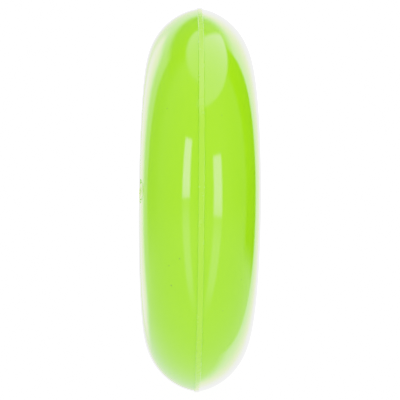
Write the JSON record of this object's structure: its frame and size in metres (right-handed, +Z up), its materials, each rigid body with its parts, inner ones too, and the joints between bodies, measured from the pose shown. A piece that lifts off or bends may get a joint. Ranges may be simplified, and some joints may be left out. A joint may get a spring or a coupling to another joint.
{
  "type": "flying ring",
  "caption": "Hollow ring of soft glossy plastic for throwing and catching, moulded as two halves joined at the rim, with a plugged air valve in one flank.",
  "frame": {"origin": "centre of the ring, on its axis and in its mid-plane", "axes": "+X along the ring's axis, with the valve on the -X side, out from the flank's crest; +Z up through the rim; the ring stands on its edge"},
  "size_m": [0.053, 0.2, 0.2],
  "materials": {
    "shell": "gloss",
    "joining_strip": "gloss",
    "valve_rubber": "satin",
    "plug_rubber": "satin"
  },
  "bodies": {
    "ring": {"left_half_shell": "shell", "right_half_shell": "shell", "outer_joining_strip": "joining_strip", "hole_joining_strip": "joining_strip", "valve_grommet": "valve_rubber"},
    "plug": {"valve_plug": "plug_rubber"}
  },
  "joints": [
    {"name": "plug_pull", "type": "slide", "parent": "ring", "child": "plug", "axis": [-0.9654, -0.2604, 0.0123], "range_m": [0, 0.009]}
  ]
}
